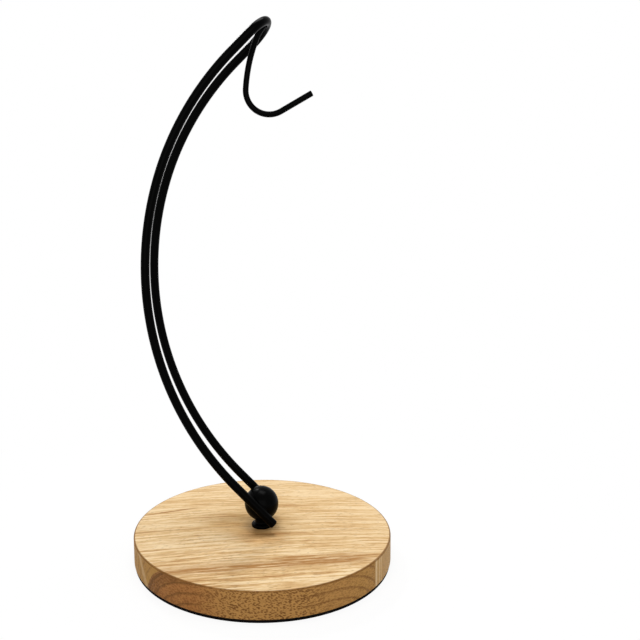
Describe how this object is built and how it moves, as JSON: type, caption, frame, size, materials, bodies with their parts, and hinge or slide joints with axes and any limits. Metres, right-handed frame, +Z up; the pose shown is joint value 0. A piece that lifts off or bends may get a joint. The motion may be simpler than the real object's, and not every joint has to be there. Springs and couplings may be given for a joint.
{
  "type": "banana hanger",
  "caption": "Free-standing fruit hanger: round wooden base, ball knob, bowed hairpin of black steel rod and an inner wire hook.",
  "frame": {"origin": "centre of the base's underside, on the surface it stands on", "axes": "+Z up; the arch lies in the XZ plane, bows out towards -X and comes back over the base, and the hook opens towards +X"},
  "size_m": [0.15, 0.15, 0.3063],
  "materials": {
    "wood": "clear satin lacquer over light, straight-grained hardwood",
    "pad": "matt black non-slip foam",
    "knob": "semi-gloss black",
    "frame": "satin black powder coat",
    "hook": "satin black powder coat",
    "fixing": "zinc plated"
  },
  "bodies": {
    "root": {"base_disc": "wood", "base_pad": "pad", "ball_post": "knob", "wire_frame": "frame", "hanging_hook": "hook", "base_screw": "fixing", "screw_washer": "fixing"}
  },
  "joints": []
}
